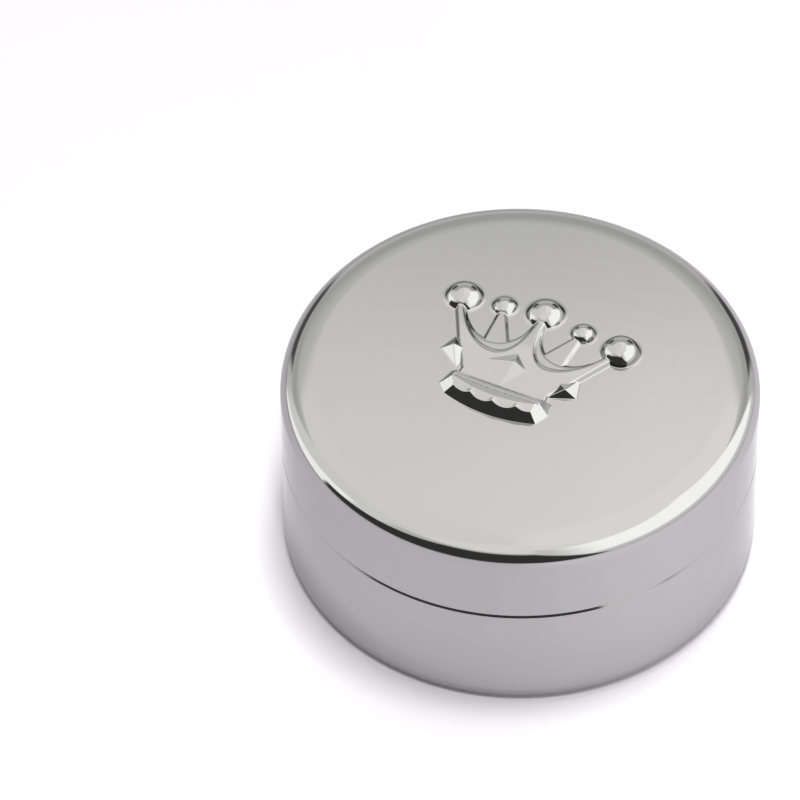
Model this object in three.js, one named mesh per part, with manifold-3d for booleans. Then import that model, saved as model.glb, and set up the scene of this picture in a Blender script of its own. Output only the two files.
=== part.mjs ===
// Round keepsake box in plated metal: a cup with a soldered neck ring, a lift-off lid struck
// with a ball-tipped coronet in relief, and velvet linings over card. Millimetres, +Z up,
// origin at the centre of the underside, the coronet's points towards +Y.
import * as THREE from "three";
import { mergeVertices } from "three/addons/utils/BufferGeometryUtils.js";
import Module from "manifold-3d";

const wasm = await Module();
wasm.setup();

// Box: driving sizes
const boxRadius = 37.5;
const baseRimHeight = 21.1; // seam, measured from the table
const lidHeight = 14.3; // seam to lid top
const baseWall = 1.6;
const floorThickness = 1.6;
const lidTopThickness = 1.6;
const roundSegments = 84;

// Felt foot
const feltRadius = 33.4;
const feltThickness = 1.2;
const feltProud = 0.4; // how far the felt holds the metal off the table
const feltEdgeGap = 0.3;

// Edges of the metal
const footEdgeRun = 1.9; // rounding under the wall, inwards
const footEdgeRise = 3.0; // and upwards
const rimRounding = 0.35; // top outer edge of the base
const lidEdgeBreak = 0.12; // lower outer edge of the lid
const shoulderSoftRadius = 16.0; // lid shoulder, first part of the turn
const shoulderSoftTurn = 8; // degrees turned by the soft part
const shoulderTightRadius = 3.6; // the rest of the turn
const insideFillet = 1.5;

// Neck ring
const ringSeatGap = 0.05; // solder line between ring and base wall
const ringThickness = 1.0;
const ringBelowSeam = 5.0;
const ringAboveSeam = 4.0;
const ringLeadChamfer = 0.4;
const lidClearance = 0.25; // running fit between lid wall and ring

// Linings
const liningGap = 0.3; // glue gap behind and under the linings
const liningThickness = 1.0;
const liningBelowRingTop = 0.6;
const liningJoint = 0.6; // butt joint of the wall strip, at the back
const boardThickness = 1.2;
const boardInset = 0.5; // card edge inside the velvet edge
const padThickness = 3.2;
const padCrown = 1.0; // extra height at the middle
const padEdgeSwell = 0.9; // how far the side bulges from its drawn-in foot
const lidPadThickness = 2.2;
const lidPadCrown = 0.6;
const padSegments = 52;

// Coronet in relief: its own frame, u across, v towards the points, v = 0 through the
// two outer balls
const coronetX = -1.25;
const coronetY = 10.37;
const reliefRoot = 0.6; // how far the relief solids reach into the lid
const plateTop = 1.05; // front plate
const borderTop = 0.62; // lower border behind the front plate
const dipRun = 1.1; // sideways run of a wall for each unit of its height, in the two dips
const flankRun = 0.6; // and down the outer sides
const bigBallRadius = 3.1;
const smallBallRadius = 2.03;
const bigBalls = [
  { u: -13.55, v: 0, height: 2.0 },
  { u: 0, v: 2.13, height: 1.9 },
  { u: 13.55, v: 0, height: 2.7 },
];
const smallBalls = [
  { u: -6.88, v: 1.08, height: 1.25 },
  { u: 6.88, v: 1.08, height: 1.6 },
];
const ballSegments = 26;
const prongTop = 0.5;
const sideGemHeight = 1.3;
const middleGemHeight = 0.55; // above the plate
const bandFront = -20.57; // front foot of the head band at its middle
const bandBow = 44; // the front foot comes back by u * u / bandBow
const bandSlope = 59; // of its front face, degrees
const bandTop = 1.95;
const bandRoofFoot = 1.35;
const lobeCount = 4;
const lobePitch = 3.85;
const lobeTop = 2.3;
const curveSteps = 14;

const outerRadius = boxRadius;
const baseInnerRadius = boxRadius - baseWall;
const metalFoot = feltProud;
const recessTop = feltThickness;
const cupFloor = recessTop + floorThickness;
const ringOuterRadius = baseInnerRadius - ringSeatGap;
const ringInnerRadius = ringOuterRadius - ringThickness;
const ringTop = baseRimHeight + ringAboveSeam;
const lidInnerRadius = ringOuterRadius + lidClearance;
const lidTop = baseRimHeight + lidHeight;
const ceiling = lidTop - lidTopThickness;
const liningOuterRadius = ringInnerRadius - liningGap;
const liningInnerRadius = liningOuterRadius - liningThickness;

const toRadians = THREE.MathUtils.degToRad;

// A closed geometry as a solid for joining and cutting
function solid(geometry) {
  const bare = geometry.clone();
  bare.deleteAttribute("normal");
  bare.deleteAttribute("uv");
  const merged = mergeVertices(bare, 1e-4);
  return new wasm.Manifold(
    new wasm.Mesh({
      numProp: 3,
      vertProperties: new Float32Array(merged.attributes.position.array),
      triVerts: new Uint32Array(merged.index.array),
    }),
  );
}

function geometryOf(shape) {
  const mesh = shape.getMesh();
  const geometry = new THREE.BufferGeometry();
  geometry.setAttribute("position", new THREE.BufferAttribute(mesh.vertProperties, 3));
  geometry.setIndex(new THREE.BufferAttribute(mesh.triVerts, 1));
  geometry.computeVertexNormals();
  return geometry;
}

// Points of an elliptic arc in a profile: centre, half axes, from one angle to another
function arc(cx, cy, a, b, fromDegrees, toDegrees, steps) {
  const points = [];
  for (let i = 0; i <= steps; i += 1) {
    const t = toRadians(fromDegrees + ((toDegrees - fromDegrees) * i) / steps);
    points.push(new THREE.Vector2(cx + a * Math.cos(t), cy + b * Math.sin(t)));
  }
  return points;
}

const at = (x, y) => new THREE.Vector2(x, y);

function revolve(profile, segments) {
  return new THREE.LatheGeometry(profile, segments);
}

// Base shell: a cup with a recess under it for the felt
function baseShellGeometry() {
  const recessRadius = feltRadius + feltEdgeGap;
  const profile = [
    at(0, recessTop),
    at(recessRadius, recessTop),
    at(recessRadius, metalFoot),
    ...arc(outerRadius - footEdgeRun, metalFoot + footEdgeRise, footEdgeRun, footEdgeRise, -90, 0, 6),
    ...arc(outerRadius - rimRounding, baseRimHeight - rimRounding, rimRounding, rimRounding, 0, 90, 3),
    at(baseInnerRadius, baseRimHeight),
    ...arc(
      baseInnerRadius - insideFillet,
      cupFloor + insideFillet,
      insideFillet,
      insideFillet,
      0,
      -90,
      3,
    ),
    at(0, cupFloor),
  ];
  return revolve(profile, roundSegments);
}

function baseFeltGeometry() {
  const edge = 0.25;
  const profile = [
    at(0, 0),
    at(feltRadius - edge, 0),
    at(feltRadius, edge),
    at(feltRadius, feltThickness - liningGap),
    at(0, feltThickness - liningGap),
  ];
  return revolve(profile, roundSegments);
}

function neckRingGeometry() {
  const foot = baseRimHeight - ringBelowSeam;
  const profile = [
    at(ringInnerRadius, foot),
    at(ringOuterRadius, foot),
    at(ringOuterRadius, ringTop - ringLeadChamfer),
    at(ringOuterRadius - ringLeadChamfer, ringTop),
    at(ringInnerRadius, ringTop),
    at(ringInnerRadius, foot),
  ];
  return revolve(profile, roundSegments);
}

// Wall lining: a strip of velvet on card bent round, its two ends meeting at the back
function wallLiningGeometry() {
  const low = cupFloor + liningGap;
  const high = ringTop - liningBelowRingTop;
  const middle = (liningOuterRadius + liningInnerRadius) / 2;
  const half = liningThickness / 2;
  const joint = liningJoint / middle;
  const foldedTop = arc(middle, high - half, half, half, 0, 180, 4);
  const profile = [
    at(liningInnerRadius, low),
    at(liningOuterRadius, low),
    ...foldedTop,
    at(liningInnerRadius, low),
  ];
  const start = Math.PI / 2 - joint / 2;
  const sweep = 2 * Math.PI - joint;
  const rings = [];
  for (let i = 0; i <= roundSegments; i += 1) {
    const t = start - (sweep * i) / roundSegments;
    rings.push(
      profile
        .slice(0, -1)
        .map((p) => new THREE.Vector3(p.x * Math.cos(t), p.x * Math.sin(t), p.y)),
    );
  }
  return skin(rings, (p) => at(Math.hypot(p.x, p.y), p.z));
}

// A padded velvet disc: drawn in at its foot, swelling at the side, crowned on top
function padProfile(radius, thickness, crown) {
  const swell = padEdgeSwell;
  const shoulder = arc(radius - swell, thickness - swell, swell, swell, 0, 62, 4);
  const last = shoulder[shoulder.length - 1];
  const rise = thickness + crown;
  const top = [];
  for (let i = 1; i <= 5; i += 1) {
    const share = i / 5;
    const r = last.x * (1 - share);
    top.push(at(r, last.y + (rise - last.y) * (1 - (1 - share) ** 2.4)));
  }
  return [at(0, 0), at(radius - swell * 0.6, 0), at(radius - swell * 0.12, swell * 0.6), ...shoulder, ...top];
}

const padRadius = liningInnerRadius - liningGap;
const boardRadius = padRadius - boardInset;

function boardGeometry() {
  const profile = [at(0, 0), at(boardRadius, 0), at(boardRadius, boardThickness), at(0, boardThickness)];
  return revolve(profile, padSegments);
}

// Skin a row of anticlockwise rings that have the same number of points, and close both ends
function skin(rings, flatten) {
  const count = rings[0].length;
  const positions = rings.flatMap((ring) => ring.flatMap((p) => [p.x, p.y, p.z]));
  const index = [];
  for (let r = 0; r < rings.length - 1; r += 1) {
    for (let i = 0; i < count; i += 1) {
      const a = r * count + i;
      const b = r * count + ((i + 1) % count);
      index.push(a, b, b + count, a, b + count, a + count);
    }
  }
  const lastRing = (rings.length - 1) * count;
  for (const [a, b, c] of THREE.ShapeUtils.triangulateShape(rings[0].map(flatten), [])) {
    index.push(a, c, b);
  }
  for (const [a, b, c] of THREE.ShapeUtils.triangulateShape(rings[rings.length - 1].map(flatten), [])) {
    index.push(lastRing + a, lastRing + b, lastRing + c);
  }
  const geometry = new THREE.BufferGeometry();
  geometry.setAttribute("position", new THREE.Float32BufferAttribute(positions, 3));
  geometry.setIndex(index);
  return geometry;
}

// Move an outline outwards, each point by its own distance, corners kept sharp up to a limit
function spread(outline, distances) {
  const count = outline.length;
  return outline.map((p, i) => {
    const before = outline[(i + count - 1) % count];
    const after = outline[(i + 1) % count];
    const a = p.clone().sub(before).normalize();
    const b = after.clone().sub(p).normalize();
    const normal = at(a.y + b.y, -a.x - b.x).normalize();
    const reach = Math.min(1 / Math.max(normal.dot(at(a.y, -a.x)), 0.01), 1.5);
    return p.clone().addScaledVector(normal, distances[i] * reach);
  });
}

const ringAt = (points, z) => points.map((p) => new THREE.Vector3(p.x, p.y, z));

// A raised plate: its outline is the edge of its flat top, and its walls slope out to the lid
function plate(outline, top, runs = outline.map(() => flankRun)) {
  const rise = top + reliefRoot;
  const foot = spread(
    outline,
    runs.map((run) => rise * run),
  );
  return solid(skin([ringAt(foot, -reliefRoot), ringAt(outline, top)], (p) => at(p.x, p.y)));
}

function mirrored(half) {
  return half
    .slice()
    .reverse()
    .map((p) => at(-p.x, p.y));
}

// The coronet's plate: a stem to the middle ball, a dip on each side, horns to the outer balls
function coronetPlate(stemHalfWidth, dipU, dipV, cheek, top) {
  const hornU = bigBalls[2].u;
  const path = new THREE.Path();
  path.moveTo(stemHalfWidth, 0.6);
  path.bezierCurveTo(stemHalfWidth + 0.2, dipV * 0.63, dipU * cheek, dipV, dipU, dipV);
  path.bezierCurveTo(dipU + 3.1, dipV, hornU - 3.0, dipV * 0.61, hornU - 1.25, -2.3);
  const dip = path.getPoints(curveSteps);
  const flank = [
    at(hornU - 0.7, -1.0),
    at(hornU - 0.2, -1.3),
    at(hornU - 0.65, -2.6),
    at(10.2, -7.8),
    at(7.45, -14.2),
    at(7.2, -16.2),
  ];
  const half = [...dip, ...flank];
  const halfRuns = [...dip.map(() => dipRun), ...flank.map(() => flankRun)];
  const outline = [...mirrored(half), ...half].reverse();
  const runs = [...halfRuns.slice().reverse(), ...halfRuns].reverse();
  return plate(outline, top, runs);
}

// A struck ball: the part of a sphere that stands out of the lid
function ball(u, v, radius, height) {
  const curve = (radius * radius + height * height) / (2 * height);
  const edge = Math.acos((curve - height) / curve);
  const profile = [at(0, -reliefRoot), at(radius, -reliefRoot)];
  for (let i = 0; i <= 8; i += 1) {
    const t = edge * (1 - i / 8);
    profile.push(at(curve * Math.sin(t), height - curve * (1 - Math.cos(t))));
  }
  const geometry = revolve(profile, ballSegments);
  geometry.rotateX(Math.PI / 2);
  geometry.translate(u, v, 0);
  return solid(geometry);
}

// A four-sided cut gem, its corners anticlockwise, on an upright root
function gem(corners, tip, foot, height) {
  const positions = [
    ...corners.flatMap((p) => [p.x, p.y, -reliefRoot]),
    ...corners.flatMap((p) => [p.x, p.y, foot]),
    ...[tip.x, tip.y, foot + height],
  ];
  const index = [0, 2, 1, 0, 3, 2];
  for (let i = 0; i < 4; i += 1) {
    const j = (i + 1) % 4;
    index.push(i, j, j + 4, i, j + 4, i + 4, i + 4, j + 4, 8);
  }
  const geometry = new THREE.BufferGeometry();
  geometry.setAttribute("position", new THREE.Float32BufferAttribute(positions, 3));
  geometry.setIndex(index);
  return solid(geometry);
}

// A narrow prong from a small ball down into the dip, seen behind the plate
function prong(side) {
  const outline = [at(6.5, 0.4), at(7.1, 0.4), at(6.75, -7.2), at(3.0, -6.2)].map((p) => at(side * p.x, p.y));
  return plate(side > 0 ? outline.reverse() : outline, prongTop);
}

// Head band: a hipped bar under the plate with a bowed front, low lobes lying along its crest
// and a fillet behind them
function band() {
  const front = (u) => bandFront + (u * u) / bandBow;
  const frontRun = bandTop / Math.tan(toRadians(bandSlope));
  const frontPoints = [-8.1, -5.4, -2.7, 0, 2.7, 5.4, 8.1].map((u) => at(u, front(u)));
  const foot = [at(-8.65, -14.3), at(-9.15, -17.0), ...frontPoints, at(9.15, -17.0), at(8.65, -14.3)];
  const crest = frontPoints.map((p) => at(p.x * 0.86, p.y + frontRun));
  const roof = [at(-6.9, -16.3), at(-7.4, -17.2), ...crest, at(7.4, -17.2), at(6.9, -16.3)];
  const roofRing = ringAt(roof, bandTop);
  roofRing[0].z = bandRoofFoot;
  roofRing[roofRing.length - 1].z = bandRoofFoot;
  let joined = solid(skin([ringAt(foot, -reliefRoot), ringAt(foot, 0), roofRing], (p) => at(p.x, p.y)));
  const filletOutline = [at(-6.9, -16.3), at(6.9, -16.3), at(6.9, -15.7), at(-6.9, -15.7)];
  joined = joined.add(plate(filletOutline, bandRoofFoot));
  for (let i = 0; i < lobeCount; i += 1) {
    const u = lobePitch * (i + 0.5 - lobeCount / 2);
    const lobe = new THREE.SphereGeometry(1, 14, 10);
    lobe.scale(lobePitch * 0.52, 1.35, 0.8);
    lobe.translate(u, front(u) + 2.45, lobeTop - 0.8);
    joined = joined.add(solid(lobe));
  }
  return joined;
}

function coronet() {
  const rightCorners = [at(11.4, -11.9), at(10.2, -7.6), at(7.4, -9.5), at(7.3, -13.1)];
  const leftCorners = [at(-8.8, -13.1), at(-7.6, -9.4), at(-11.6, -8.1), at(-12.2, -11.0)];
  const middleCorners = [at(1.9, -10.1), at(-0.4, -7.4), at(-3.4, -10.1), at(-0.4, -12.8)];
  const pieces = [
    coronetPlate(0.78, 6.2, -7.05, 0.5, borderTop),
    coronetPlate(0.6, 4.85, -9.0, 0.42, plateTop),
    ...bigBalls.map((b) => ball(b.u, b.v, bigBallRadius, b.height)),
    ...smallBalls.map((b) => ball(b.u, b.v, smallBallRadius, b.height)),
    prong(-1),
    prong(1),
    gem(rightCorners, at(9.3, -11.65), 0, sideGemHeight),
    gem(leftCorners, at(-10.1, -10.9), 0, sideGemHeight),
    gem(middleCorners, at(-0.3, -9.6), plateTop - 0.03, middleGemHeight),
    band(),
  ];
  return pieces.reduce((joined, piece) => joined.add(piece)).translate([coronetX, coronetY, lidTop]);
}

// Lid shell: drawn cap with a two-radius shoulder, and the coronet standing out of its top
function lidShellGeometry() {
  const turn = toRadians(shoulderSoftTurn);
  const softEdge =
    outerRadius -
    shoulderTightRadius * (1 - Math.sin(turn)) -
    shoulderSoftRadius * Math.sin(turn);
  const shoulder = [];
  for (let i = 7; i >= 1; i -= 1) {
    const t = turn + ((Math.PI / 2 - turn) * i) / 7;
    const drop = shoulderSoftRadius * (1 - Math.cos(turn));
    shoulder.push(
      at(
        outerRadius - shoulderTightRadius * (1 - Math.sin(t)),
        lidTop - drop - shoulderTightRadius * (Math.cos(turn) - Math.cos(t)),
      ),
    );
  }
  for (let i = 2; i >= 0; i -= 1) {
    const t = (turn * i) / 2;
    shoulder.push(
      at(softEdge + shoulderSoftRadius * Math.sin(t), lidTop - shoulderSoftRadius * (1 - Math.cos(t))),
    );
  }
  const profile = [
    at(0, ceiling),
    ...arc(lidInnerRadius - insideFillet, ceiling - insideFillet, insideFillet, insideFillet, 90, 0, 3),
    at(lidInnerRadius, baseRimHeight),
    at(outerRadius - lidEdgeBreak, baseRimHeight),
    at(outerRadius, baseRimHeight + lidEdgeBreak),
    ...shoulder,
    at(0, lidTop),
  ];
  const cap = revolve(profile, roundSegments);
  cap.rotateX(Math.PI / 2);
  return geometryOf(solid(cap).add(coronet()));
}

const plating = new THREE.MeshStandardMaterial({ color: 0xc4c4c6, roughness: 0.08, metalness: 1 });
const brass = new THREE.MeshStandardMaterial({ color: 0xc9c6c0, roughness: 0.2, metalness: 1 });
const velvet = new THREE.MeshStandardMaterial({ color: 0x1b1c22, roughness: 0.95, metalness: 0 });
const card = new THREE.MeshStandardMaterial({ color: 0xb9a888, roughness: 0.9, metalness: 0 });
const felt = new THREE.MeshStandardMaterial({ color: 0x202126, roughness: 1, metalness: 0 });

const box = new THREE.Group();

function add(name, geometry, material, height = 0, upright = true) {
  const mesh = new THREE.Mesh(geometry, material);
  mesh.name = name;
  mesh.position.z = height;
  if (upright) mesh.rotation.x = Math.PI / 2;
  box.add(mesh);
}

const floorBoardFoot = cupFloor;
const floorPadFoot = floorBoardFoot + boardThickness;
const lidBoardTop = ceiling - liningGap;

add("base_shell", baseShellGeometry(), plating);
add("base_felt", baseFeltGeometry(), felt);
add("neck_ring", neckRingGeometry(), brass);
add("wall_lining", wallLiningGeometry(), velvet, 0, false);
add("floor_board", boardGeometry(), card, floorBoardFoot);
const floorPad = revolve(padProfile(padRadius, padThickness, padCrown), padSegments);
add("floor_pad", floorPad, velvet, floorPadFoot);
add("lid_shell", lidShellGeometry(), plating, 0, false);
add("lid_board", boardGeometry(), card, lidBoardTop - boardThickness);
const lidPad = revolve(padProfile(padRadius, lidPadThickness, lidPadCrown), padSegments);
lidPad.rotateX(Math.PI); // its crown hangs down
add("lid_pad", lidPad, velvet, lidBoardTop - boardThickness);

export default box;
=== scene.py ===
import math

import bmesh
import bpy
import numpy as np
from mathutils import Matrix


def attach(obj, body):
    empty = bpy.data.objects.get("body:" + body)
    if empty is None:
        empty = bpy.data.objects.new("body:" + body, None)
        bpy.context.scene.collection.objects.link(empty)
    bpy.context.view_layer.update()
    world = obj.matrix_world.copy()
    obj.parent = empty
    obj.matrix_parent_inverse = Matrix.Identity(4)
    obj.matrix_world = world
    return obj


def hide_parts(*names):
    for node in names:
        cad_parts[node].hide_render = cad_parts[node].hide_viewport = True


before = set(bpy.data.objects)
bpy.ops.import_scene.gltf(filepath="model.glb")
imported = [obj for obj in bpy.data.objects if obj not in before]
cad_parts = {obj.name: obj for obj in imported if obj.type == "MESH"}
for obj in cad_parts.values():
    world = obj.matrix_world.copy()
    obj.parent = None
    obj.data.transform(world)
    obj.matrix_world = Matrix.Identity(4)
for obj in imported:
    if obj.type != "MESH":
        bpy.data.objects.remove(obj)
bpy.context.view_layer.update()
scene = bpy.context.scene
scene.view_settings.view_transform = "Standard"
mm = 0.001
tiny = 1e-6  # millimetres; anything smaller counts as nothing

print("frame loaded")


# camera, first because everything is judged through it
photoView = {
    "place": (0.279427, -0.618862, 0.783607),
    "turn": (41.9802, 0.2994, 25.5518),  # degrees
    "lens": 291.87,
    "sensor": 36,
    "nearest": 0.02,
    "farthest": 20,
    "azimuth": 24.3,  # of the camera round the box, from -Y towards +X
}


def placeCamera():
    lens = bpy.data.cameras.new("photoCamera")
    lens.lens = photoView["lens"]
    lens.sensor_width = photoView["sensor"]
    lens.clip_start = photoView["nearest"]
    lens.clip_end = photoView["farthest"]
    camera = bpy.data.objects.new("photoCamera", lens)
    camera.location = photoView["place"]
    camera.rotation_euler = [math.radians(a) for a in photoView["turn"]]
    scene.collection.objects.link(camera)
    scene.camera = camera


placeCamera()
print("camera placed")


# small helpers for shader trees
def addNode(tree, kind, **settings):
    node = tree.nodes.new(kind)
    for name, value in settings.items():
        setattr(node, name, value)
    return node


def feed(tree, socket, value):
    if isinstance(value, bpy.types.NodeSocket):
        tree.links.new(value, socket)
    else:
        socket.default_value = value


def calc(tree, operation, a, b=0.0):
    node = addNode(tree, "ShaderNodeMath", operation=operation)
    feed(tree, node.inputs[0], a)
    feed(tree, node.inputs[1], b)
    return node.outputs[0]


def ramp(tree, value, start, end):
    node = addNode(tree, "ShaderNodeMapRange", interpolation_type="SMOOTHSTEP")
    feed(tree, node.inputs["Value"], value)
    node.inputs["From Min"].default_value = start
    node.inputs["From Max"].default_value = end
    return node.outputs["Result"]


def blendColour(tree, amount, a, b):
    node = addNode(tree, "ShaderNodeMix", data_type="RGBA")
    feed(tree, node.inputs["Factor"], amount)
    feed(tree, node.inputs[6], a)
    feed(tree, node.inputs[7], b)
    return node.outputs[2]


def noise(tree, vector, scale, detail, roughness):
    node = addNode(tree, "ShaderNodeTexNoise")
    feed(tree, node.inputs["Vector"], vector)
    feed(tree, node.inputs["Scale"], scale)
    node.inputs["Detail"].default_value = detail
    node.inputs["Roughness"].default_value = roughness
    return node.outputs["Fac"]


# the studio: a white room with a bright ceiling, a soft box on each side and the dark of
# the room behind the camera. Each patch is bounded by edges (a, b, c) that keep
# a * azimuth + b * elevation under c, with a softness of their own as a fourth number where
# it differs; azimuths are from the camera, right positive, and later patches cover earlier
studio = {
    "plain": 0.15,  # what lights the object, besides the lamps
    "white": (1.05, 1.05, 1.03),
    "patches": [
        # ceiling, a little darker to the left and lighter to the right
        {"edges": [(0, -1, -47.5)], "soft": 1.3, "colour": (1.57, 1.55, 1.535)},
        {
            "edges": [(0, -1, -47.5), (-1, 0, 179, 1), (1, 0, -50, 6)],
            "soft": 1.3,
            "colour": (1.48, 1.465, 1.45),
        },
        {
            "edges": [(0, -1, -47.5), (1, 0, 179, 1), (-1, 0, -50, 6)],
            "soft": 1.3,
            "colour": (1.66, 1.635, 1.63),
        },
        # back wall and the shade under its ceiling
        {"edges": [(-1, 0, -104), (0, 1, 45)], "soft": 2, "colour": (1.02, 1.02, 1.0)},
        {"edges": [(1, 0, -104), (0, 1, 45)], "soft": 2, "colour": (1.02, 1.02, 1.0)},
        {"edges": [(-1, 0, -104), (0, -1, -27), (0, 1, 41)], "soft": 4, "colour": (0.79, 0.79, 0.77)},
        {"edges": [(1, 0, -104), (0, -1, -27), (0, 1, 41)], "soft": 4, "colour": (0.79, 0.79, 0.77)},
        # side walls
        {
            "edges": [(1, 0, -60), (-1, 0, 128), (0, 1, 60), (0, -1, -4)],
            "soft": 5,
            "colour": (1.4, 1.4, 1.38),
        },
        {
            "edges": [(-1, 0, -8), (1, 0, 128), (0, -1, 4), (0, 1, 62)],
            "soft": 3,
            "colour": (1.25, 1.25, 1.24),
        },
        # soft boxes, right and left
        {
            "edges": [(-1, 0, -27, 14), (1, 0, 128), (0, -1, -13, 3), (0, 1, 62)],
            "soft": 1.5,
            "colour": (2.2, 2.19, 2.19),
        },
        {
            "edges": [(1, 0, -77, 3), (-1, 0, 128), (0, -1, 6), (0, 1, 33), (-0.7, 1, 93)],
            "soft": 2,
            "colour": (2.03, 2.03, 2.01),
        },
        # dark room behind the camera
        {
            "edges": [(-1, 0, 88), (-1, 2, 114), (0, 1, 41), (1, 0.7, 37), (0, -1, 25)],
            "soft": 1.4,
            "colour": (0.067, 0.067, 0.066),
        },
        # dark gaps behind the soft boxes
        {
            "edges": [(-1, 0, -137), (1, 0, 158), (0, -1, -3), (0, 1, 26)],
            "soft": 2.5,
            "colour": (0.13, 0.13, 0.13),
        },
        {
            "edges": [(1, 0, -137), (-1, 0, 158), (0, -1, -3), (0, 1, 24)],
            "soft": 2.5,
            "colour": (0.15, 0.15, 0.15),
        },
    ],
}


def cameraTurned(tree, vector):
    # a direction or place with the camera's azimuth taken out, as x, y, z
    turned = addNode(tree, "ShaderNodeVectorRotate", rotation_type="Z_AXIS")
    feed(tree, turned.inputs["Vector"], vector)
    turned.inputs["Angle"].default_value = -math.radians(photoView["azimuth"])
    parts = addNode(tree, "ShaderNodeSeparateXYZ")
    feed(tree, parts.inputs[0], turned.outputs[0])
    return parts.outputs


def seenRays(tree):
    # a mask of the camera's own rays, and one of those with the mirrored and transmitted ones
    path = addNode(tree, "ShaderNodeLightPath")
    byCamera = path.outputs["Is Camera Ray"]
    shows = calc(tree, "MAXIMUM", byCamera, path.outputs["Is Glossy Ray"])
    return byCamera, calc(tree, "MAXIMUM", shows, path.outputs["Is Transmission Ray"])


def buildStudio():
    world = bpy.data.worlds.new("studio")
    world.use_nodes = True
    scene.world = world
    tree = world.node_tree
    tree.nodes.clear()
    x, y, z = cameraTurned(tree, addNode(tree, "ShaderNodeTexCoord").outputs["Generated"])
    azimuth = calc(tree, "DEGREES", calc(tree, "ARCTAN2", x, calc(tree, "MULTIPLY", y, -1.0)))
    elevation = calc(tree, "DEGREES", calc(tree, "ARCSINE", z))
    colour = (*studio["white"], 1)
    for patch in studio["patches"]:
        amount = 1.0
        for a, b, c, *own in patch["edges"]:
            soft = own[0] if own else patch["soft"]
            rise = calc(tree, "MULTIPLY", elevation, b)
            across = calc(tree, "ADD", calc(tree, "MULTIPLY", azimuth, a), rise)
            within = ramp(tree, across, c + soft, c - soft)
            amount = calc(tree, "MULTIPLY", within, amount)
        colour = blendColour(tree, amount, colour, (*patch["colour"], 1))
    byCamera, shows = seenRays(tree)
    seen = addNode(tree, "ShaderNodeBackground")
    feed(tree, seen.inputs["Color"], blendColour(tree, byCamera, colour, (1, 1, 1, 1)))
    plain = addNode(tree, "ShaderNodeBackground")
    plain.inputs["Color"].default_value = (*[studio["plain"]] * 3, 1)
    mixed = addNode(tree, "ShaderNodeMixShader")
    feed(tree, mixed.inputs[0], shows)
    feed(tree, mixed.inputs[1], plain.outputs[0])
    feed(tree, mixed.inputs[2], seen.outputs[0])
    out = addNode(tree, "ShaderNodeOutputWorld")
    feed(tree, out.inputs["Surface"], mixed.outputs[0])


lamps = {
    "top": {"azimuth": 130, "elevation": 86.5, "distance": 1.2, "size": 0.23, "energy": 6.7},
    "front": {"azimuth": 0, "elevation": 68, "distance": 1.2, "size": 0.21, "energy": 5.6},
    "back": {"azimuth": 180, "elevation": 75, "distance": 1.2, "size": 0.27, "energy": 1.9},
}


def placeLamps():
    for name, lamp in lamps.items():
        light = bpy.data.lights.new(name, "AREA")
        light.size = lamp["size"]
        light.energy = lamp["energy"]
        obj = bpy.data.objects.new(name, light)
        turn = math.radians(photoView["azimuth"] + lamp["azimuth"])
        rise = math.radians(lamp["elevation"])
        far = lamp["distance"]
        obj.location = (
            far * math.sin(turn) * math.cos(rise),
            -far * math.cos(turn) * math.cos(rise),
            far * math.sin(rise),
        )
        obj.rotation_euler = (math.pi / 2 - rise, 0, turn)
        obj.visible_glossy = False  # its reflection is already in the studio's soft boxes
        obj.visible_camera = False
        scene.collection.objects.link(obj)


# the floor has painted light on its right side: an emission there makes it a little brighter, as a
# window on that side would
floorLook = {
    "radius": 3.0,
    "sides": 96,
    "below": 0.00002,  # under the felt, so that the two don't share a plane
    "colour": (0.9, 0.877, 0.915, 1),
    "tint": (1, 0.97, 1.015, 1),
    "lift": 0.05,
    "paintedSideLight": 0.27,
    "side": (-0.02, 0.07),  # where that starts and is full, right of the box's middle
}


def makeFloor():
    bpy.ops.mesh.primitive_circle_add(
        vertices=floorLook["sides"], radius=floorLook["radius"], fill_type="NGON"
    )
    floor = bpy.context.object
    floor.name = "floor"
    floor.location.z = -floorLook["below"]
    material = bpy.data.materials.new("floorWhite")
    material.use_nodes = True
    tree = material.node_tree
    tree.nodes.clear()
    matt = addNode(tree, "ShaderNodeBsdfDiffuse")
    matt.inputs["Color"].default_value = floorLook["colour"]
    _, seen = seenRays(tree)
    toTheRight = cameraTurned(tree, addNode(tree, "ShaderNodeTexCoord").outputs["Object"])[0]
    # painted light: extra emission brightens the floor right of the box, for the camera and for
    # reflections in the metal
    side = calc(tree, "MULTIPLY", ramp(tree, toTheRight, *floorLook["side"]), floorLook["paintedSideLight"])
    strength = calc(tree, "MULTIPLY", seen, calc(tree, "ADD", side, floorLook["lift"]))
    lift = addNode(tree, "ShaderNodeEmission")
    lift.inputs["Color"].default_value = floorLook["tint"]
    feed(tree, lift.inputs["Strength"], strength)
    both = addNode(tree, "ShaderNodeAddShader")
    feed(tree, both.inputs[0], matt.outputs[0])
    feed(tree, both.inputs[1], lift.outputs[0])
    out = addNode(tree, "ShaderNodeOutputMaterial")
    feed(tree, out.inputs["Surface"], both.outputs[0])
    floor.data.materials.append(material)


buildStudio()
placeLamps()
makeFloor()
print("studio built")


# shader groups shared by the finishes
def newGroup(name, inputs, outputs):
    tree = bpy.data.node_groups.new(name, "ShaderNodeTree")
    for title, kind, value in inputs:
        socket = tree.interface.new_socket(title, in_out="INPUT", socket_type=kind)
        socket.default_value = value
    for title, kind in outputs:
        tree.interface.new_socket(title, in_out="OUTPUT", socket_type=kind)
    return tree, addNode(tree, "NodeGroupInput"), addNode(tree, "NodeGroupOutput")


# a noise is a scale, a detail and a roughness; "clouds" and, in the pile, "tufts" leave out
# the scale, because it is an input of the group
polishDetail = {"clouds": (4, 0.5), "fine": (900, 5, 0.6), "waves": (38, 1, 0.4)}


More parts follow.
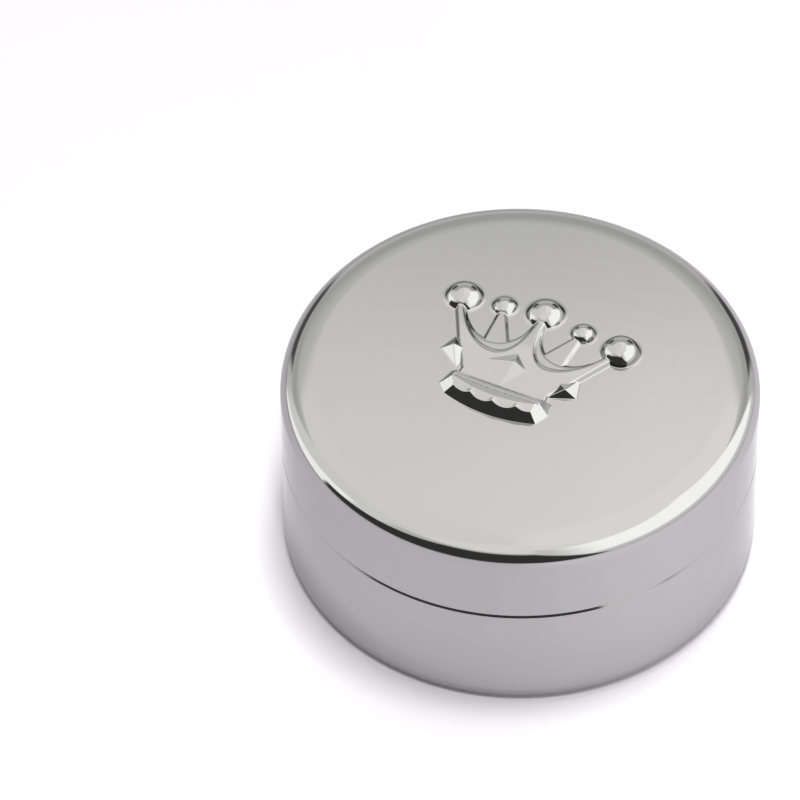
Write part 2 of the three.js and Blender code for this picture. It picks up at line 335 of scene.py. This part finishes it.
def polishGroup():
    # the buffing wheel's haze: faint clouds in the shine and a very slight unevenness
    tree, given, out = newGroup(
        "buffedPolish",
        [
            ("Shine", "NodeSocketFloat", 0.08),
            ("Haze", "NodeSocketFloat", 0.03),
            ("Clouds", "NodeSocketFloat", 60.0),
        ],
        [("Roughness", "NodeSocketFloat"), ("Height", "NodeSocketFloat")],
    )
    place = addNode(tree, "ShaderNodeTexCoord").outputs["Object"]
    clouds = noise(tree, place, given.outputs["Clouds"], *polishDetail["clouds"])
    mixed = calc(tree, "MULTIPLY", clouds, noise(tree, place, *polishDetail["fine"]))
    extra = calc(tree, "MULTIPLY", mixed, given.outputs["Haze"])
    feed(tree, out.inputs["Roughness"], calc(tree, "ADD", given.outputs["Shine"], extra))
    feed(tree, out.inputs["Height"], noise(tree, place, *polishDetail["waves"]))
    return tree


pileDetail = {
    "tufts": (2, 0.5),
    "nap": (90, 3, 0.55),
    "napEdge": (0.38, 0.68),  # from lying one way to lying the other
    "speckEdge": (0.3, 0.75),
}


def pileGroup():
    # short pile: tiny tufts, and broad patches where the nap lies the other way
    tree, given, out = newGroup(
        "clothPile",
        [
            ("Colour", "NodeSocketColor", (0.1, 0.1, 0.1, 1)),
            ("Nap colour", "NodeSocketColor", (0.2, 0.2, 0.2, 1)),
            ("Tufts", "NodeSocketFloat", 2600.0),
        ],
        [("Colour", "NodeSocketColor"), ("Height", "NodeSocketFloat")],
    )
    place = addNode(tree, "ShaderNodeTexCoord").outputs["Object"]
    tufts = noise(tree, place, given.outputs["Tufts"], *pileDetail["tufts"])
    nap = ramp(tree, noise(tree, place, *pileDetail["nap"]), *pileDetail["napEdge"])
    speck = ramp(tree, tufts, *pileDetail["speckEdge"])
    amount = calc(tree, "MULTIPLY", calc(tree, "ADD", nap, speck), 0.5)
    mixed = blendColour(tree, amount, given.outputs["Colour"], given.outputs["Nap colour"])
    feed(tree, out.inputs["Colour"], mixed)
    feed(tree, out.inputs["Height"], tufts)
    return tree


polish = polishGroup()
pile = pileGroup()


def newFinish(name):
    material = bpy.data.materials.new(name)
    material.use_nodes = True
    tree = material.node_tree
    return material, tree, tree.nodes["Principled BSDF"]


def bumped(tree, height, strength, distance):
    bump = addNode(tree, "ShaderNodeBump")
    bump.inputs["Strength"].default_value = strength
    bump.inputs["Distance"].default_value = distance
    feed(tree, bump.inputs["Height"], height)
    return bump.outputs["Normal"]


silverLook = {
    "colour": (0.4, 0.4, 0.398),
    "edgeTint": 0.75,
    "shine": 0.07,
    "haze": 0.05,
    "unevenness": 0.05,
    "waveHeight": 0.00002,
}


def platedFinish(name, look):
    material, tree, shader = newFinish(name)
    shader.inputs["Base Color"].default_value = (*look["colour"], 1)
    shader.inputs["Metallic"].default_value = 1
    shader.inputs["Specular Tint"].default_value = (*[look["edgeTint"]] * 3, 1)
    group = addNode(tree, "ShaderNodeGroup", node_tree=polish)
    group.inputs["Shine"].default_value = look["shine"]
    group.inputs["Haze"].default_value = look["haze"]
    feed(tree, shader.inputs["Roughness"], group.outputs["Roughness"])
    normal = bumped(tree, group.outputs["Height"], look["unevenness"], look["waveHeight"])
    feed(tree, shader.inputs["Normal"], normal)
    return material


velvetLook = {
    "colour": (0.008, 0.009, 0.022),
    "nap": (0.028, 0.032, 0.07),
    "tufts": 2600,
    "roughness": 0.95,
    "sheen": 0.6,
    "sheenRoughness": 0.35,
    "relief": (0.5, 0.0002),  # strength and height of the tufts
}
feltLook = {
    "colour": (0.012, 0.012, 0.014),
    "nap": (0.035, 0.035, 0.04),
    "tufts": 1500,
    "roughness": 1,
    "sheen": 0.2,
    "sheenRoughness": 0.35,
    "relief": (0.5, 0.0002),
}


def clothFinish(name, look):
    material, tree, shader = newFinish(name)
    group = addNode(tree, "ShaderNodeGroup", node_tree=pile)
    group.inputs["Colour"].default_value = (*look["colour"], 1)
    group.inputs["Nap colour"].default_value = (*look["nap"], 1)
    group.inputs["Tufts"].default_value = look["tufts"]
    feed(tree, shader.inputs["Base Color"], group.outputs["Colour"])
    shader.inputs["Roughness"].default_value = look["roughness"]
    shader.inputs["Sheen Weight"].default_value = look["sheen"]
    shader.inputs["Sheen Roughness"].default_value = look["sheenRoughness"]
    feed(tree, shader.inputs["Normal"], bumped(tree, group.outputs["Height"], *look["relief"]))
    return material


cardLook = {
    "dark": (0.42, 0.36, 0.27, 1),
    "pale": (0.52, 0.46, 0.36, 1),
    "flecks": (1500, 4, 0.7),
    "fleckEdge": (0.35, 0.7),
    "roughness": 0.9,
}


def cardFinish(name, look):
    material, tree, shader = newFinish(name)
    place = addNode(tree, "ShaderNodeTexCoord").outputs["Object"]
    flecks = ramp(tree, noise(tree, place, *look["flecks"]), *look["fleckEdge"])
    feed(tree, shader.inputs["Base Color"], blendColour(tree, flecks, look["dark"], look["pale"]))
    shader.inputs["Roughness"].default_value = look["roughness"]
    return material


silverPlate = platedFinish("silverPlate", silverLook)
velvet = clothFinish("navyVelvet", velvetLook)
felt = clothFinish("blackFelt", feltLook)
greyBoard = cardFinish("greyBoard", cardLook)
print("finishes made")


# meshes from points in millimetres
def meshPiece(name, points, faces, material, body, replaced):
    mesh = bpy.data.meshes.new(name)
    mesh.from_pydata((np.asarray(points, float) * mm).tolist(), [], faces)
    mesh.update()
    mesh.shade_smooth()
    mesh.materials.append(material)
    obj = bpy.data.objects.new(name, mesh)
    scene.collection.objects.link(obj)
    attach(obj, body)
    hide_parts(*replaced)
    return obj


def arcPoints(cx, cz, rx, rz, start, end, steps):
    angles = np.radians(np.linspace(start, end, steps + 1))
    return [(cx + rx * math.cos(a), cz + rz * math.sin(a)) for a in angles]


def turnedSkin(profile, segments, startTurn=0.0, sweep=360.0):
    # points and faces of a profile of (radius, height) turned about the upright axis;
    # a profile end on the axis becomes one point
    whole = sweep >= 360
    steps = segments if whole else segments + 1
    turns = np.radians(startTurn + sweep * np.arange(steps) / segments)
    points = []
    rings = []
    for radius, height in profile:
        if radius < tiny:
            rings.append([len(points)] * steps)
            points.append((0, 0, height))
        else:
            rings.append(list(range(len(points), len(points) + steps)))
            points += [(radius * math.cos(t), radius * math.sin(t), height) for t in turns]
    faces = []
    for low, high in zip(rings, rings[1:]):
        for i in range(segments):
            j = (i + 1) % steps
            face = [low[i], low[j], high[j], high[i]]
            face = [p for k, p in enumerate(face) if p not in face[:k]]
            if len(face) > 2:
                faces.append(face)
    return points, faces, rings


# main sizes of the box, as in the solids
boxShape = {
    "radius": 37.5,
    "seam": 21.1,
    "lidTop": 35.4,
    "ceiling": 33.8,
    "metalFoot": 0.4,
    "cupFloor": 2.8,
    "baseInner": 35.9,
    "lidInner": 36.1,
    "recessRadius": 33.7,
    "recessTop": 1.2,
    "footEdge": (1.9, 3.0),  # across and up
    "footSteps": 20,
    "rimBevel": (0.33, 0.62),  # across and down
    "bevelRows": (0, 0.08, 0.92, 1),  # shares of it
    "shoulder": [(16.0, 8), (3.6, 90)],  # radius of each arc, slope where it ends
    "shoulderRows": (5, 2),  # fewest in an arc, and the degrees between them
    "insideFillet": 1.5,
    "filletSteps": 8,
    "segments": 256,
}

# rows of points that hold the shading crisp beside an edge, and the small edge breaks
edgeRows = {
    "close": 0.03,
    "near": 0.1,
    "beside": 0.2,
    "wall": 0.3,
    "inner": 0.4,
    "foot": 0.5,
    "break": 0.12,  # radius of the inner edges
    "breakRow": 0.15,  # the row before it
    "lidBreak": 0.1,  # radius of the lid's lower outer edge
    "lidBreakRow": 0.14,
    "breakSteps": 4,
}


def brokenEdge(radius, height, up):
    # the small rounding where an inside wall meets the flat rim above or below it
    size = edgeRows["break"]
    steps = edgeRows["breakSteps"]
    if up:
        return arcPoints(radius + size, height - size, -size, size, 90, 0, steps)
    return arcPoints(radius + size, height + size, -size, -size, 0, 90, steps)


def insideFillet(radius, height, up):
    # the rounding between an inside wall and the ceiling or the floor
    size = boxShape["insideFillet"]
    steps = boxShape["filletSteps"]
    if up:
        return arcPoints(radius - size, height - size, size, size, 90, 0, steps)
    return arcPoints(radius - size, height + size, size, size, 0, -90, steps)


def makeBaseShell():
    b = boxShape
    rows = edgeRows
    run, rise = b["footEdge"]
    r = b["radius"]
    across, down = b["rimBevel"]
    bevel = [(r - across * t, b["seam"] - down * (1 - t)) for t in b["bevelRows"]]
    profile = [
        (0, b["recessTop"]),
        (b["recessRadius"], b["recessTop"]),
        (b["recessRadius"], b["metalFoot"] + rows["near"]),
        (b["recessRadius"] + rows["near"], b["metalFoot"]),
        (b["recessRadius"] + rows["foot"], b["metalFoot"]),
        *arcPoints(r - run, b["metalFoot"] + rise, run, rise, -90, 0, b["footSteps"]),
        (r, b["metalFoot"] + rise + rows["wall"]),
        (r, b["seam"] - down - rows["beside"]),
        (r, b["seam"] - down - rows["close"]),
        *bevel,
        (r - across - rows["close"], b["seam"]),
        (b["baseInner"] + rows["breakRow"], b["seam"]),
        *brokenEdge(b["baseInner"], b["seam"], True),
        (b["baseInner"], b["seam"] - rows["inner"]),
        (b["baseInner"], b["cupFloor"] + b["insideFillet"] + rows["wall"]),
        *insideFillet(b["baseInner"], b["cupFloor"], False),
        (0, b["cupFloor"]),
    ]
    points, faces, _ = turnedSkin(profile, b["segments"])
    meshPiece("baseCup", points, faces, silverPlate, "base", ["base_shell"])


neckShape = {
    "inner": 34.85,
    "outer": 35.85,
    "foot": 16.1,
    "top": 25.1,
    "lead": 0.4,
    "leadSteps": 8,
}


def makeNeckRing():
    n = neckShape
    rows = edgeRows
    lead = n["lead"]
    profile = [
        (n["inner"], n["foot"]),
        (n["outer"], n["foot"]),
        (n["outer"], n["top"] - lead - rows["near"]),
        *arcPoints(n["outer"] - lead, n["top"] - lead, lead, lead, 0, 90, n["leadSteps"]),
        (n["inner"] + rows["breakRow"], n["top"]),
        *brokenEdge(n["inner"], n["top"], True),
        (n["inner"], n["top"] - rows["inner"]),
        (n["inner"], n["foot"]),
    ]
    points, faces, _ = turnedSkin(profile, boxShape["segments"])
    meshPiece("neckRing", points, faces, silverPlate, "base", ["neck_ring"])


# the coronet's relief, in its own frame: u across, v towards the points, both from the
# line through the two outer balls, heights above the lid; a "soft" is how far a crease is
# rounded
coronet = {
    "place": (-1.25, 10.37),
    "patch": (-18.6, 18.6, -24.17, 8.0),  # u and v limits
    "grid": 0.08,
    "bowReach": 9.4,  # how far out the grid's rows follow the band's bowed front
    "margin": 3,  # cells round the relief that go with it
    "border": {
        "height": 0.46,
        "tilt": 0,
        "slope": 0.5,
        "sideSlope": 1.5,
        "stem": 0.75,
        "dip": (6.15, -6.9),
        "cheek": 0.5,
        "soft": 0.2,
    },
    "plate": {
        "height": 0.84,
        "tilt": 0.04,
        "slope": 0.38,
        "sideSlope": 1.5,
        "stem": 0.5,
        "dip": (4.8, -8.75),
        "cheek": 0.42,
        "soft": 0.3,
    },
    "tiltStart": (-7.5, 2.5),  # v, and how soft
    "sideStart": (0.6, 3.2),  # above a dip's bottom, and the run to the full side slope
    "dipCurve": {
        "stemTop": 0.6,
        "stemPull": (0.2, 0.63),  # across, and as a share of the dip
        "bottomPull": 3.1,
        "armPull": (10.55, 0.61),
        "armTop": (12.3, -2.3),
        "outside": [(13.0, -0.6), (14.0, 2.0), (20, 2.0), (20, -30)],
    },
    "flank": {
        "over": 0.3,  # above the plate, so that only its sides are cut
        "slope": 1.7,
        "soft": 0.12,
        "join": 0.1,
        "top": (0, 5.0),
        "edge": [(13.6, 0.6), (13.35, -1.3), (12.9, -2.6), (10.1, -7.9), (6.8, -13.3), (6.9, -16.2)],
    },
    "balls": [  # across, towards the points, radius, height
        (-13.5, 0.55, 3.05, 2.05),
        (-0.35, 2.55, 3.1, 2.0),
        (13.7, 0.05, 3.15, 2.6),
        (-6.88, 1.35, 2.03, 1.3),
        (6.8, 1.1, 2.0, 1.6),
    ],
    "ballFoot": {"fillet": 0.12, "halo": 0.026, "haloWidth": 0.65, "haloReach": 0.7},
    "prong": {
        "height": 0.42,
        "slope": 1.0,
        "soft": 0.12,
        "corners": [(6.5, 0.4), (6.9, 0.4), (6.6, -7.2), (3.0, -6.2)],
    },
    "grooves": {
        "at": [(-16.75, 0.34, 0.22), (-15.5, 0.46, 0.27)],  # v, depth, half width
        "reach": 7.4,
        "fade": 0.3,
    },
    "gemSoft": 0.05,
    "gems": [
        {
            "corners": [(11.55, -11.7), (10.3, -7.4), (6.9, -9.3), (6.9, -13.65)],
            "tip": (9.5, -11.65, 1.4),
        },
        {
            "corners": [(-8.4, -13.6), (-7.4, -9.5), (-11.1, -7.8), (-12.2, -10.95)],
            "tip": (-10.2, -10.45, 1.5),
        },
    ],
    "middleGem": {
        "corners": [(2.1, -10.2), (-0.4, -7.7), (-4.2, -10.4), (-0.4, -14.8)],
        "tip": (-0.2, -9.5, 0.44),
    },
    "band": {
        "front": -20.57,
        "frontBow": 44,
        "frontSlope": 59,
        "frontLine": (8, 0.01),  # the crisp line at its foot: half length, and how near
        "top": 2.25,
        "crest": 2.3,  # behind the front foot
        "fall": 0.3,
        "fallAhead": (0.03, 0.42),  # between the lobes, and more in a lobe's middle
        "lobePitch": 3.85,
        "lobeShift": 0.45,
        "lobePower": 2.5,
        "ends": {  # corners of each end, u outwards; 1 is the right end
            1: [(8.5, -14.4), (8.95, -16.8), (7.9, -19.15)],
            -1: [(8.6, -14.9), (9.3, -17.65), (7.8, -19.2)],
        },
        "endSlope": 52,
        "back": -14.95,
        "backRise": (2, 0.8),  # slope, and height at the back line
        "soft": 0.08,
        "backSoft": 0.1,
    },
}


def bezier(p0, p1, p2, p3, steps=16):
    t = np.linspace(0, 1, steps + 1)[:, None]
    p0, p1, p2, p3 = (np.array(p, float) for p in (p0, p1, p2, p3))
    return (1 - t) ** 3 * p0 + 3 * (1 - t) ** 2 * t * p1 + 3 * (1 - t) * t**2 * p2 + t**3 * p3


def signedDistance(u, v, outline):
    # negative inside the closed outline
    best = np.full(u.shape, np.inf)
    inside = np.zeros(u.shape, bool)
    count = len(outline)
    for i in range(count):
        au, av = outline[i]
        bu, bv = outline[(i + 1) % count]
        du, dv = bu - au, bv - av
        length = du * du + dv * dv
        if length < tiny**2:
            continue
        t = np.clip(((u - au) * du + (v - av) * dv) / length, 0, 1)
        best = np.minimum(best, (u - au - t * du) ** 2 + (v - av - t * dv) ** 2)
        if av != bv:
            crosses = (av > v) != (bv > v)
            inside ^= crosses & (u < du * (v - av) / dv + au)
    return np.where(inside, -1, 1) * np.sqrt(best)


def softMax(a, b, k):
    return np.maximum(a, b) + np.maximum(k - np.abs(a - b), 0) ** 2 / (4 * k)


def softMin(a, b, k):
    return -softMax(-a, -b, k)


def plateOutline(look):
    # below the two dips, and open to every other side
    curve = coronet["dipCurve"]
    stem = look["stem"]
    dipU, dipV = look["dip"]
    stemU, stemShare = curve["stemPull"]
    armU, armShare = curve["armPull"]
    half = np.vstack([
        bezier(
            (stem, curve["stemTop"]),
            (stem + stemU, dipV * stemShare),
            (dipU * look["cheek"], dipV),
            (dipU, dipV),
        ),
        bezier(
            (dipU, dipV),
            (dipU + curve["bottomPull"], dipV),
            (armU, dipV * armShare),
            curve["armTop"],
        ),
        curve["outside"],
    ])
    return np.vstack([half[::-1] * (-1, 1), half])


def flankOutline():
    edge = np.array(coronet["flank"]["edge"])
    return np.vstack([[coronet["flank"]["top"]], edge, edge[::-1] * (-1, 1)])


def raised(u, v, outline, height, slope, soft):
    out = signedDistance(u, v, outline)
    return height - slope * softMax(out, 0 * out, soft)


def ballHeight(distance, radius, height):
    # a part of a sphere, running out below the lid round its foot
    curve = (radius**2 + height**2) / (2 * height)
    cap = height - curve + np.sqrt(curve**2 - np.minimum(distance, radius) ** 2)
    footSlope = radius / math.sqrt(curve**2 - radius**2)
    return cap - footSlope * np.maximum(distance - radius, 0)


def haloHeight(distance, radius):
    # the metal stands a hair proud round a ball, to a soft edge
    foot = coronet["ballFoot"]
    edge = np.clip((radius + foot["haloReach"] - distance) / foot["haloWidth"], 0, 1)
    return foot["halo"] * edge**2 * (3 - 2 * edge)


def cutGem(u, v, look):
    # four flat faces from a tip down to the corners, which go round anticlockwise
    corners = look["corners"]
    tipU, tipV, tipZ = look["tip"]
    height = np.full(u.shape, np.inf)
    for i in range(4):
        au, av = corners[i]
        bu, bv = corners[(i + 1) % 4]
        across = np.array([bv - av, au - bu])
        reach = (tipU - au) * across[0] + (tipV - av) * across[1]
        face = tipZ * ((u - au) * across[0] + (v - av) * across[1]) / reach
        height = np.minimum(height, face)
    return np.maximum(height, 0)


def headBand(u, v, look):
    foot = look["front"] + u**2 / look["frontBow"]
    front = (v - foot) * math.tan(math.radians(look["frontSlope"]))
    phase = ((u - look["lobeShift"]) / look["lobePitch"]) % 1 - 0.5  # 0 in the middle of a lobe
    bulge = 1 - np.abs(2 * phase) ** look["lobePower"]
    behind = v - foot - look["crest"]
    least, more = look["fallAhead"]
    fallAhead = (least + more * bulge) * np.maximum(-behind, 0)
    top = look["top"] - look["fall"] * np.maximum(behind, 0) - fallAhead
    endTilt = math.tan(math.radians(look["endSlope"]))
    side = np.full(u.shape, np.inf)
    for hand, ends in look["ends"].items():
        for (au, av), (bu, bv) in zip(ends, ends[1:]):
            length = math.hypot(bu - au, bv - av)
            gap = ((hand * u - au) * (bv - av) - (v - av) * (bu - au)) / length
            side = np.minimum(side, gap * endTilt)
    backSlope, backFoot = look["backRise"]
    back = (look["back"] - v) * backSlope + backFoot
    height = softMin(front, top, look["soft"])
    return softMin(softMin(height, side, look["soft"]), back, look["backSoft"])


def plateSteps(u, v):
    # the border and the front plate on it
    tiltStart, tiltSoft = coronet["tiltStart"]
    sideStart, sideRun = coronet["sideStart"]
    height = np.full(u.shape, -1.0)  # under the lid, where nothing shows
    for step in (coronet["border"], coronet["plate"]):
        level = step["height"] - step["tilt"] * softMax(tiltStart - v, 0 * v, tiltSoft)
        aside = np.clip((v - step["dip"][1] - sideStart) / sideRun, 0, 1)
        slope = step["slope"] + (step["sideSlope"] - step["slope"]) * aside
        height = np.maximum(height, raised(u, v, plateOutline(step), level, slope, step["soft"]))
    return height


def reliefHeight(u, v):
    c = coronet
    look = c["flank"]
    flankTop = c["plate"]["height"] + look["over"]
    flank = raised(u, v, flankOutline(), flankTop, look["slope"], look["soft"])
    height = plateSteps(u, v) + cutGem(u, v, c["middleGem"])
    height = softMin(height, flank, look["join"])
    prong = c["prong"]
    for side in (-1, 1):
        outline = [(side * a, b) for a, b in prong["corners"]]
        shape = raised(u, v, outline, prong["height"], prong["slope"], prong["soft"])
        height = np.maximum(height, shape)
    height = softMax(height, headBand(u, v, c["band"]), c["band"]["soft"])
    grooves = c["grooves"]
    within = np.clip((grooves["reach"] - np.abs(u)) / grooves["fade"], 0, 1)
    for line, depth, width in grooves["at"]:
        height = height - within * depth * np.maximum(1 - np.abs(v - line) / width, 0)
    for gem in c["gems"]:
        height = softMax(height, cutGem(u, v, gem), c["gemSoft"])
    height = np.maximum(height, 0)
    for ballU, ballV, radius, top in c["balls"]:
        distance = np.hypot(u - ballU, v - ballV)
        halo = haloHeight(distance, radius)
        ball = ballHeight(distance, radius, top)
        height = softMax(np.maximum(height, halo), ball, c["ballFoot"]["fillet"])
    return height


def grown(cells):
    # with the cells beside them
    wide = cells.copy()
    wide[1:] |= cells[:-1]
    wide[:-1] |= cells[1:]
    wide[:, 1:] |= cells[:, :-1]
    wide[:, :-1] |= cells[:, 1:]
    return wide


def reliefCells(height):
    # cells of the grid that the relief touches, widened a little, with no corner-only
    # contacts and no holes
    touched = height > tiny
    busy = touched[:-1, :-1] | touched[1:, :-1] | touched[:-1, 1:] | touched[1:, 1:]
    for _ in range(coronet["margin"]):
        busy = grown(busy)
    while True:
        a, b, c, d = busy[:-1, :-1], busy[1:, :-1], busy[:-1, 1:], busy[1:, 1:]
        clash = (a & d & ~b & ~c) | (b & c & ~a & ~d)
        if not clash.any():
            break
        for row, column in zip(*np.nonzero(clash)):
            busy[row:row + 2, column:column + 2] = True
    outside = np.zeros(busy.shape, bool)
    outside[0] = outside[-1] = outside[:, 0] = outside[:, -1] = True
    outside &= ~busy
    while True:
        wide = grown(outside) & ~busy
        if (wide == outside).all():
            return ~outside
        outside = wide


def reliefPatch(first):
    # the relief's points, and its faces with the points numbered from the given one on
    c = coronet
    lowU, highU, lowV, highV = c["patch"]
    us = np.arange(lowU, highU + c["grid"] / 2, c["grid"])
    vs = np.arange(lowV, highV + c["grid"] / 2, c["grid"])
    u, v = np.meshgrid(us, vs, indexing="ij")
    v += np.minimum(np.abs(u), c["bowReach"]) ** 2 / c["band"]["frontBow"]
    height = reliefHeight(u, v)
    rows, columns = np.nonzero(reliefCells(height))
    used = np.full(u.shape, -1)
    for di in (0, 1):
        for dj in (0, 1):
            used[rows + di, columns + dj] = 0
    spots = np.nonzero(used == 0)
    used[spots] = np.arange(len(spots[0])) + first
    placeU, placeV = c["place"]
    points = np.column_stack([
        u[spots] + placeU,
        v[spots] + placeV,
        height[spots] + boxShape["lidTop"],
    ])
    quads = np.column_stack([
        used[rows, columns],
        used[rows + 1, columns],
        used[rows + 1, columns + 1],
        used[rows, columns + 1],
    ])
    print("relief grid", len(points), "points, height", round(float(height.max()), 3))
    return points.tolist(), quads.tolist()


def shoulderPoints():
    # from the wall up and in to the flat top, as arcs of falling slope
    fewest, degrees = boxShape["shoulderRows"]
    x, z = 0.0, 0.0
    slope = 0.0
    points = [(x, z)]
    for radius, end in boxShape["shoulder"]:
        startX, startZ, startSlope = x, z, math.radians(slope)
        rows = max(fewest, round((end - slope) / degrees))
        for angle in np.linspace(slope, end, rows)[1:]:
            t = math.radians(angle)
            x = startX + radius * (math.sin(t) - math.sin(startSlope))
            z = startZ - radius * (math.cos(startSlope) - math.cos(t))
            points.append((x, z))
        slope = end
    run = points[-1][0]
    return [(boxShape["radius"] - run + px, boxShape["lidTop"] + pz) for px, pz in points[::-1]]


lidTopWithin = 1e-4  # millimetres under the lid's top that still count as on it


def closeLidTop(work):
    # the flat metal between the relief and the shoulder
    level = (boxShape["lidTop"] - lidTopWithin) * mm
    edges = [e for e in work.edges if e.is_boundary and all(p.co.z > level for p in e.verts)]
    made = bmesh.ops.triangle_fill(work, use_beauty=True, use_dissolve=False, edges=edges)
    for face in made["geom"]:
        if isinstance(face, bmesh.types.BMFace):
            face.smooth = True
            if face.normal.z < 0:
                face.normal_flip()
    print("lid edges left open", sum(e.is_boundary for e in work.edges))


def markFrontLine(work):
    # the foot of the head band's front is a crisp line
    band = coronet["band"]
    placeU, placeV = coronet["place"]
    reach, within = band["frontLine"]
    for edge in work.edges:
        onLine = True
        for point in edge.verts:
            across = point.co.x / mm - placeU
            along = point.co.y / mm - placeV
            off = abs(along - across**2 / band["frontBow"] - band["front"])
            onLine = onLine and abs(across) < reach and off < within
        if onLine:
            edge.smooth = False


def makeLidShell():
    b = boxShape
    rows = edgeRows
    r = b["radius"]
    small = rows["lidBreak"]
    shoulder = shoulderPoints()
    profile = [
        (0, b["ceiling"]),
        *insideFillet(b["lidInner"], b["ceiling"], True),
        (b["lidInner"], b["seam"] + rows["inner"]),
        *brokenEdge(b["lidInner"], b["seam"], False),
        (b["lidInner"] + rows["beside"], b["seam"]),
        (r - rows["lidBreakRow"], b["seam"]),
        *arcPoints(r - small, b["seam"] + small, small, small, -90, 0, rows["breakSteps"]),
        (r, b["seam"] + rows["wall"]),
        (r, shoulder[0][1] - rows["wall"]),
        *shoulder,
        (shoulder[-1][0] - rows["beside"], b["lidTop"]),
    ]
    points, faces, _ = turnedSkin(profile, b["segments"])
    reliefPoints, quads = reliefPatch(len(points))
    points, faces = points + reliefPoints, faces + quads
    lid = meshPiece("lidCap", points, faces, silverPlate, "lid", ["lid_shell"])
    work = bmesh.new()
    work.from_mesh(lid.data)
    closeLidTop(work)
    markFrontLine(work)
    work.to_mesh(lid.data)
    work.free()
    lid.data.update()


makeBaseShell()
makeNeckRing()
makeLidShell()
print("metal pieces made")


# velvet strip round the wall, its ends butted at the back
liningShape = {
    "inner": 33.55,
    "outer": 34.55,
    "low": 3.1,
    "high": 24.5,
    "joint": 0.6,
    "topRow": 0.3,  # under the rounded upper edge
    "topSteps": 12,
    "segments": 180,
}


def makeWallLining():
    s = liningShape
    half = (s["outer"] - s["inner"]) / 2
    middle = (s["outer"] + s["inner"]) / 2
    profile = [
        (s["inner"], s["low"]),
        (s["outer"], s["low"]),
        (s["outer"], s["high"] - half - s["topRow"]),
        *arcPoints(middle, s["high"] - half, half, half, 0, 180, s["topSteps"]),
        (s["inner"], s["high"] - half - s["topRow"]),
    ]
    gap = math.degrees(s["joint"] / middle)
    points, faces, rings = turnedSkin(profile, s["segments"], 90 + gap / 2, 360 - gap)
    start, end = rings[0], rings[-1]
    faces += [[end[i], end[i + 1], start[i + 1], start[i]] for i in range(s["segments"])]
    faces += [[ring[0] for ring in rings][::-1], [ring[-1] for ring in rings]]
    meshPiece("wallLining", points, faces, velvet, "base", ["wall_lining"])


padShape = {
    "radius": 33.25,
    "swell": 0.9,
    "swellTurn": (62, 10),  # degrees of it before the top starts, and steps
    "tuck": (0.6, 0.12),  # shares of the swell that the foot and the side are drawn in
    "fullness": 2.4,
    "topRows": 24,
    "segments": 120,
    # how the padding pulls unevenly: waves round, where they start, height, power outwards
    "pulls": [(3, 0.7, 0.2, 2), (7, 0, 0.1, 3)],
    "pullsFrom": 0.5,  # share of the thickness
    "sink": 0.12,
    "floor": {"foot": 4.0, "thickness": 3.2, "crown": 1.0},
    "lid": {"foot": 32.3, "thickness": 2.2, "crown": 0.6},
}


def makePad(name, look, side, body, replaced):
    s = padShape
    swell = s["swell"]
    r = s["radius"]
    thickness, crown = look["thickness"], look["crown"]
    turn, steps = s["swellTurn"]
    shoulder = arcPoints(r - swell, thickness - swell, swell, swell, 0, turn, steps)
    lastX, lastZ = shoulder[-1]
    top = []
    for share in np.linspace(0, 1, s["topRows"] + 1)[1:]:
        rise = (thickness + crown - lastZ) * (1 - (1 - share) ** s["fullness"])
        top.append((lastX * (1 - share), lastZ + rise))
    foot, beside = s["tuck"]
    edge = [(0, 0), (r - swell * foot, 0), (r - swell * beside, swell * foot)]
    points, faces, _ = turnedSkin([*edge, *shoulder, *top], s["segments"])
    points = np.array(points)
    turns = np.arctan2(points[:, 1], points[:, 0])
    out = np.hypot(points[:, 0], points[:, 1]) / r
    lift = 0 * out
    for waves, start, height, power in s["pulls"]:
        lift += height * np.sin(waves * turns + start) * out**power * (1 - out)
    pulled = points[:, 2] > s["pullsFrom"] * thickness
    domed = points[:, 2] > thickness
    points[:, 2] += np.where(pulled, lift, 0) - s["sink"] * domed
    points[:, 2] = look["foot"] + side * points[:, 2]
    if side < 0:
        faces = [face[::-1] for face in faces]
    pad = meshPiece(name, points, faces, velvet, body, [replaced])


makeWallLining()
makePad("floorPad", padShape["floor"], 1, "base", "floor_pad")
makePad("lidPad", padShape["lid"], -1, "lid", "lid_pad")


def dressSolid(node, material):
    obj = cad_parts[node]
    obj.data.materials.clear()
    obj.data.materials.append(material)


dressSolid("base_felt", felt)
dressSolid("floor_board", greyBoard)
dressSolid("lid_board", greyBoard)
print("linings made")
